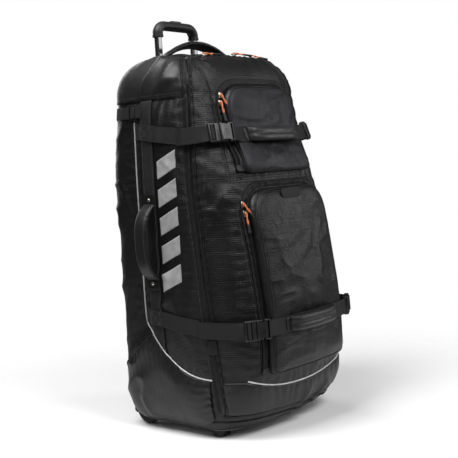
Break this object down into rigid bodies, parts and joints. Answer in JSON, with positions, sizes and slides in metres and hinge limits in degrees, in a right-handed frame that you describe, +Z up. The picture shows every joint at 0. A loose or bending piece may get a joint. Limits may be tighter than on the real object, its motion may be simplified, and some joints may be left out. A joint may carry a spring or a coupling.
{
  "type": "wheeled hockey equipment bag",
  "caption": "Upright wheeled ice hockey equipment bag with a zipped front flap, zipped pockets, buckled compression straps, carrying grips and a telescoping trolley handle.",
  "frame": {"origin": "on the floor, under the middle of the whole bag's width and depth", "axes": "+Z up along the standing bag; the front with the flap and pockets faces -Y; +X is to the right when looking along +Y at the front"},
  "size_m": [0.5546, 0.4569, 1.0101],
  "materials": {
    "black_plastic": "moulded black plastic",
    "board": "dark plastic board",
    "coated_fabric": "smooth polyurethane-coated fabric, satin",
    "gloss_tube": "gloss black anodised tube",
    "orange_pull": "orange cord with a black moulded end",
    "reflective_piping": "silver reflective piping",
    "ripstop": "black ripstop polyester, satin",
    "steel": "brushed metal",
    "twill": "fine black twill, satin",
    "tyre_rubber": "black rubber",
    "webbing": "woven black webbing, matt"
  },
  "bodies": {
    "root": {"main_shell": "ripstop", "base_board": "board", "back_board": "board", "trolley_frame": "steel", "trolley_bezel": "black_plastic", "top_grip": "ripstop", "wheel_housing_left": "black_plastic", "wheel_housing_right": "black_plastic", "wheel_axle_left": "steel", "wheel_axle_right": "steel", "front_foot_left": "black_plastic", "front_foot_right": "black_plastic", "side_piping_left": "reflective_piping", "side_piping_right": "reflective_piping", "side_webbing_left": "webbing", "side_webbing_right": "webbing", "upper_strap_left": "webbing", "upper_strap_right": "webbing", "lower_strap_left": "webbing", "lower_strap_right": "webbing", "side_guard_left": "coated_fabric", "side_guard_right": "coated_fabric", "rear_strap_left": "webbing", "rear_strap_right": "webbing", "rear_slider_left": "black_plastic", "rear_slider_right": "black_plastic", "side_grip_left": "coated_fabric", "side_grip_right": "coated_fabric"},
    "trolley_middle": {"trolley_middle_tube_left": "gloss_tube", "trolley_middle_tube_right": "gloss_tube"},
    "trolley_inner": {"trolley_inner_tube_left": "gloss_tube", "trolley_inner_tube_right": "gloss_tube", "trolley_grip": "black_plastic"},
    "button": {"release_button": "black_plastic"},
    "wheel_left": {"wheel_tyre_left": "tyre_rubber", "wheel_hub_left": "black_plastic"},
    "wheel_right": {"wheel_tyre_right": "tyre_rubber", "wheel_hub_right": "black_plastic"},
    "flap": {"front_flap": "ripstop", "front_piping": "reflective_piping"},
    "upper_pocket": {"upper_pocket_lid": "twill", "upper_front_webbing": "webbing", "upper_front_grip": "coated_fabric", "upper_buckle_female_left": "black_plastic", "upper_buckle_female_right": "black_plastic"},
    "lower_pocket": {"lower_pocket_lid": "ripstop", "lower_front_webbing": "webbing", "lower_front_grip": "coated_fabric", "lower_buckle_female_left": "black_plastic", "lower_buckle_female_right": "black_plastic"},
    "upper_buckle_left": {"upper_buckle_male_left": "black_plastic"},
    "upper_buckle_right": {"upper_buckle_male_right": "black_plastic"},
    "lower_buckle_left": {"lower_buckle_male_left": "black_plastic"},
    "lower_buckle_right": {"lower_buckle_male_right": "black_plastic"},
    "upper_zip_slider": {"upper_zip_slider": "steel"},
    "upper_zip_pull": {"upper_zip_pull": "orange_pull"},
    "lower_zip_slider": {"lower_zip_slider": "steel"},
    "lower_zip_pull": {"lower_zip_pull": "orange_pull"},
    "main_zip_slider_left": {"main_zip_slider_left": "steel"},
    "main_zip_slider_right": {"main_zip_slider_right": "steel"}
  },
  "joints": [
    {"name": "trolley_extend", "type": "slide", "parent": "root", "child": "trolley_inner", "axis": [0, 0, 1], "range_m": [-0.085, 0.3]},
    {"name": "trolley_stage", "type": "slide", "parent": "root", "child": "trolley_middle", "axis": [0, 0, 1], "range_m": [-0.0425, 0.15]},
    {"name": "release_button", "type": "slide", "parent": "trolley_inner", "child": "button", "axis": [0, 0, -1], "range_m": [0, 0.003], "stiffness_N_per_m": 600, "springref_m": -0.001},
    {"name": "wheel_left_spin", "type": "hinge", "parent": "root", "child": "wheel_left", "pos_m": [-0.176, 0.19145, 0.036], "axis": [1, 0, 0], "continuous": true},
    {"name": "wheel_right_spin", "type": "hinge", "parent": "root", "child": "wheel_right", "pos_m": [0.176, 0.19145, 0.036], "axis": [1, 0, 0], "continuous": true},
    {"name": "flap_open", "type": "hinge", "parent": "root", "child": "flap", "pos_m": [0, -0.15042, 0.06], "axis": [1, 0, 0], "range_deg": [0, 80], "deforming": ["upper_strap_left", "upper_strap_right", "lower_strap_left", "lower_strap_right"]},
    {"name": "upper_pocket_open", "type": "hinge", "parent": "flap", "child": "upper_pocket", "pos_m": [0, -0.11996, 0.6116], "axis": [1, 0, 0], "range_deg": [0, 40]},
    {"name": "lower_pocket_open", "type": "hinge", "parent": "flap", "child": "lower_pocket", "pos_m": [0, -0.16906, 0.1496], "axis": [1, 0, 0], "range_deg": [0, 35]},
    {"name": "upper_buckle_left_release", "type": "slide", "parent": "upper_pocket", "child": "upper_buckle_left", "axis": [-0.8774, 0.4798, 0], "range_m": [0, 0.03]},
    {"name": "upper_buckle_right_release", "type": "slide", "parent": "upper_pocket", "child": "upper_buckle_right", "axis": [0.8774, 0.4798, 0], "range_m": [0, 0.03]},
    {"name": "lower_buckle_left_release", "type": "slide", "parent": "lower_pocket", "child": "lower_buckle_left", "axis": [-0.8816, 0.472, 0], "range_m": [0, 0.03]},
    {"name": "lower_buckle_right_release", "type": "slide", "parent": "lower_pocket", "child": "lower_buckle_right", "axis": [0.8816, 0.472, 0], "range_m": [0, 0.03]},
    {"name": "upper_zip_run", "type": "slide", "parent": "flap", "child": "upper_zip_slider", "axis": [0, -0.2102, -0.9777], "range_m": [0, 0.045]},
    {"name": "upper_pull_swing", "type": "hinge", "parent": "upper_zip_slider", "child": "upper_zip_pull", "pos_m": [-0.13755, -0.07397, 0.77487], "axis": [-0.9659, 0.2533, -0.0545], "range_deg": [0, 90]},
    {"name": "lower_zip_run", "type": "slide", "parent": "flap", "child": "lower_zip_slider", "axis": [0, -0.1529, -0.9882], "range_m": [0, 0.1]},
    {"name": "lower_pull_swing", "type": "hinge", "parent": "lower_zip_slider", "child": "lower_zip_pull", "pos_m": [-0.15264, -0.14021, 0.5181], "axis": [-0.9812, 0.1905, -0.0295], "range_deg": [0, 90]},
    {"name": "main_zip_run_left", "type": "slide", "parent": "flap", "child": "main_zip_slider_left", "axis": [-1, 0, 0], "range_m": [-0.04, 0]},
    {"name": "main_zip_run_right", "type": "slide", "parent": "flap", "child": "main_zip_slider_right", "axis": [1, 0, 0], "range_m": [-0.04, 0]}
  ],
  "couplings": [
    {"joint": "trolley_stage", "follows": "trolley_extend", "ratio": 0.5}
  ]
}
